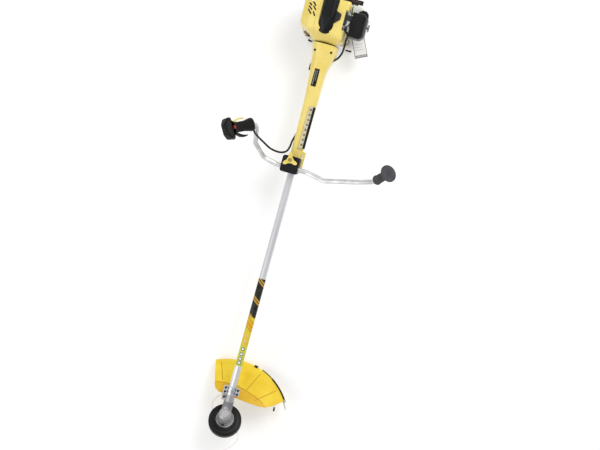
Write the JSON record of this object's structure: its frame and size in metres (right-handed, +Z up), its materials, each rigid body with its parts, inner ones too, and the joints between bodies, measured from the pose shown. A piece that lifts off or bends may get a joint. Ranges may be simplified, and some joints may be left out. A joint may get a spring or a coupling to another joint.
{
  "type": "brush mower",
  "caption": "Petrol brush mower: straight drive tube with handlebar and throttle, geared line head with guard, engine with fuel tank and recoil starter.",
  "frame": {"origin": "centre of the machine's footprint on the ground, below the drive tube's mid length", "axes": "+X forward along the drive tube towards the line head, +Y to the operator's left, +Z up"},
  "size_m": [1.8676, 0.6752, 0.4446],
  "materials": {
    "tube_alloy": "satin drawn tube",
    "case_paint": "dark grey cast",
    "bright_alloy": "cast",
    "steel": "machined",
    "stamped_steel": "zinc plated",
    "bronze": "sintered",
    "screw_steel": "black oxide",
    "yellow_cover": "moulded, semi-gloss",
    "yellow_guard": "moulded, satin",
    "black_plastic": "moulded",
    "black_rubber": "soft grip",
    "nylon_line": "extruded nylon",
    "knob_yellow": "moulded",
    "lever_yellow": "moulded",
    "switch_red": "moulded",
    "bar_alloy": "light grey powder coat",
    "plate_black": "glossy label plate",
    "cast_grey": "die cast",
    "shoe": "sintered shoe with lining",
    "muffler_steel": "heat-resistant grey",
    "ceramic_white": "glazed insulator",
    "bulb": "translucent",
    "tank_white": "blow moulded, translucent",
    "rope": "braided nylon",
    "lead_brown": "hose and wires",
    "cable_black": "sheathed cable"
  },
  "bodies": {
    "machine": {"drive_tube": "tube_alloy", "drive_bearings": "bronze", "gear_case": "case_paint", "guard": "yellow_guard", "guard_bracket": "bright_alloy", "guard_bracket_cap": "bright_alloy", "line_knife": "steel", "guard_edge_trim": "black_rubber", "socket_screws": "screw_steel", "clamp_lower": "black_plastic", "clamp_middle": "black_plastic", "clamp_top": "black_plastic", "throttle_cable": "cable_black", "shaft_cover_upper": "yellow_cover", "shaft_cover_lower": "yellow_cover", "harness_rail": "stamped_steel", "rail_pad": "black_rubber", "name_plate": "plate_black", "clutch_housing": "bright_alloy", "crankcase": "cast_grey", "finned_cylinder": "cast_grey", "piston_and_rod": "bright_alloy", "engine_cover": "yellow_cover", "plug_cover": "black_plastic", "spark_plug": "ceramic_white", "muffler": "muffler_steel", "carburettor": "cast_grey", "air_filter_case": "black_plastic", "fuel_tank": "tank_white", "tank_stand": "black_plastic", "starter_housing": "black_plastic", "starter_rope": "rope", "engine_leads": "lead_brown"},
    "cutter_head": {"output_gear": "steel", "holder_dish": "stamped_steel", "head_housing": "black_plastic", "spool_spring": "steel", "cutting_line_a": "nylon_line", "cutting_line_b": "nylon_line"},
    "spool": {"line_spool": "black_plastic"},
    "drive_line": {"drive_shaft": "steel", "pinion_gear": "steel", "clutch_drum": "steel"},
    "crank": {"crankshaft": "steel", "flywheel_fan": "cast_grey", "clutch_shoes": "shoe"},
    "starter_handle": {"starter_grip": "black_plastic"},
    "recoil_pulley": {"starter_pulley": "black_plastic"},
    "handle": {"handlebar": "bar_alloy", "left_grip": "black_rubber", "throttle_grip": "black_plastic"},
    "trigger": {"throttle_trigger": "black_plastic"},
    "lockout": {"lockout_lever": "lever_yellow"},
    "switch": {"stop_switch": "switch_red"},
    "carburettor_arm": {"throttle_arm": "steel"},
    "handle_knob": {"clamp_knob": "knob_yellow"},
    "choke": {"choke_lever": "black_plastic"},
    "primer": {"primer_bulb": "bulb"},
    "cap": {"fuel_cap": "black_plastic"},
    "filter_lid": {"air_filter_cover": "black_plastic"}
  },
  "joints": [
    {"name": "head_spin", "type": "hinge", "parent": "machine", "child": "cutter_head", "pos_m": [0.81435, -0.05208, 0.17], "axis": [-0.5, 0, 0.866], "continuous": true},
    {"name": "bump_feed", "type": "slide", "parent": "cutter_head", "child": "spool", "axis": [-0.5, 0, 0.866], "range_m": [0, 0.005], "stiffness_N_per_m": 900, "springref_m": -0.008, "deforming": ["spool_spring"]},
    {"name": "drive_spin", "type": "hinge", "parent": "machine", "child": "drive_line", "pos_m": [-0.18165, -0.05208, 0.17], "axis": [1, 0, 0], "continuous": true},
    {"name": "crank_spin", "type": "hinge", "parent": "machine", "child": "crank", "pos_m": [-0.78665, -0.05208, 0.17], "axis": [1, 0, 0], "continuous": true},
    {"name": "starter_pull", "type": "slide", "parent": "machine", "child": "starter_handle", "axis": [0, 0, 1], "range_m": [0, 0.5], "stiffness_N_per_m": 16, "springref_m": -0.1, "deforming": ["starter_rope"]},
    {"name": "recoil_spin", "type": "hinge", "parent": "machine", "child": "recoil_pulley", "pos_m": [-0.78665, -0.05208, 0.17], "axis": [1, 0, 0], "range_deg": [0, 845]},
    {"name": "handle_tilt", "type": "hinge", "parent": "machine", "child": "handle", "pos_m": [-0.18165, -0.05208, 0.206], "axis": [0, 1, 0], "range_deg": [-20, 20], "deforming": ["throttle_cable"]},
    {"name": "trigger_squeeze", "type": "hinge", "parent": "handle", "child": "trigger", "pos_m": [-0.25659, -0.27278, 0.40333], "axis": [-0.3626, 0.6216, 0.6943], "range_deg": [0, 16], "stiffness_Nm_per_rad": 0.5, "springref_deg": -17.19},
    {"name": "lockout_press", "type": "hinge", "parent": "handle", "child": "lockout", "pos_m": [-0.29168, -0.29003, 0.40045], "axis": [0.3626, -0.6216, -0.6943], "range_deg": [0, 10], "stiffness_Nm_per_rad": 0.3, "springref_deg": -17.19},
    {"name": "stop_slide", "type": "slide", "parent": "handle", "child": "switch", "axis": [0.3498, -0.5997, 0.7197], "range_m": [0, 0.004]},
    {"name": "throttle_turn", "type": "hinge", "parent": "machine", "child": "carburettor_arm", "pos_m": [-0.77665, 0.01392, 0.23], "axis": [0, 0, 1], "range_deg": [0, 40]},
    {"name": "knob_turn", "type": "hinge", "parent": "machine", "child": "handle_knob", "pos_m": [-0.21165, -0.06408, 0.23], "axis": [0, 0, 1], "continuous": true},
    {"name": "choke_turn", "type": "hinge", "parent": "machine", "child": "choke", "pos_m": [-0.81365, 0.01792, 0.254], "axis": [0, 1, 0], "range_deg": [0, 50]},
    {"name": "primer_press", "type": "slide", "parent": "machine", "child": "primer", "axis": [0, 0, 1], "range_m": [0, 0.004], "stiffness_N_per_m": 300, "springref_m": -0.002},
    {"name": "cap_turn", "type": "hinge", "parent": "machine", "child": "cap", "pos_m": [-0.83265, 0.04592, 0.094], "axis": [0, 0.6, 0.8], "range_deg": [0, 360]},
    {"name": "filter_lid_lift", "type": "slide", "parent": "machine", "child": "filter_lid", "axis": [0, 1, 0], "range_m": [0, 0.06]}
  ],
  "couplings": [
    {"joint": "drive_spin", "follows": "head_spin", "ratio": 1.4},
    {"joint": "recoil_spin", "follows": "starter_pull", "rad_per_m": 29.41},
    {"joint": "throttle_turn", "follows": "trigger_squeeze", "ratio": 2.5}
  ]
}
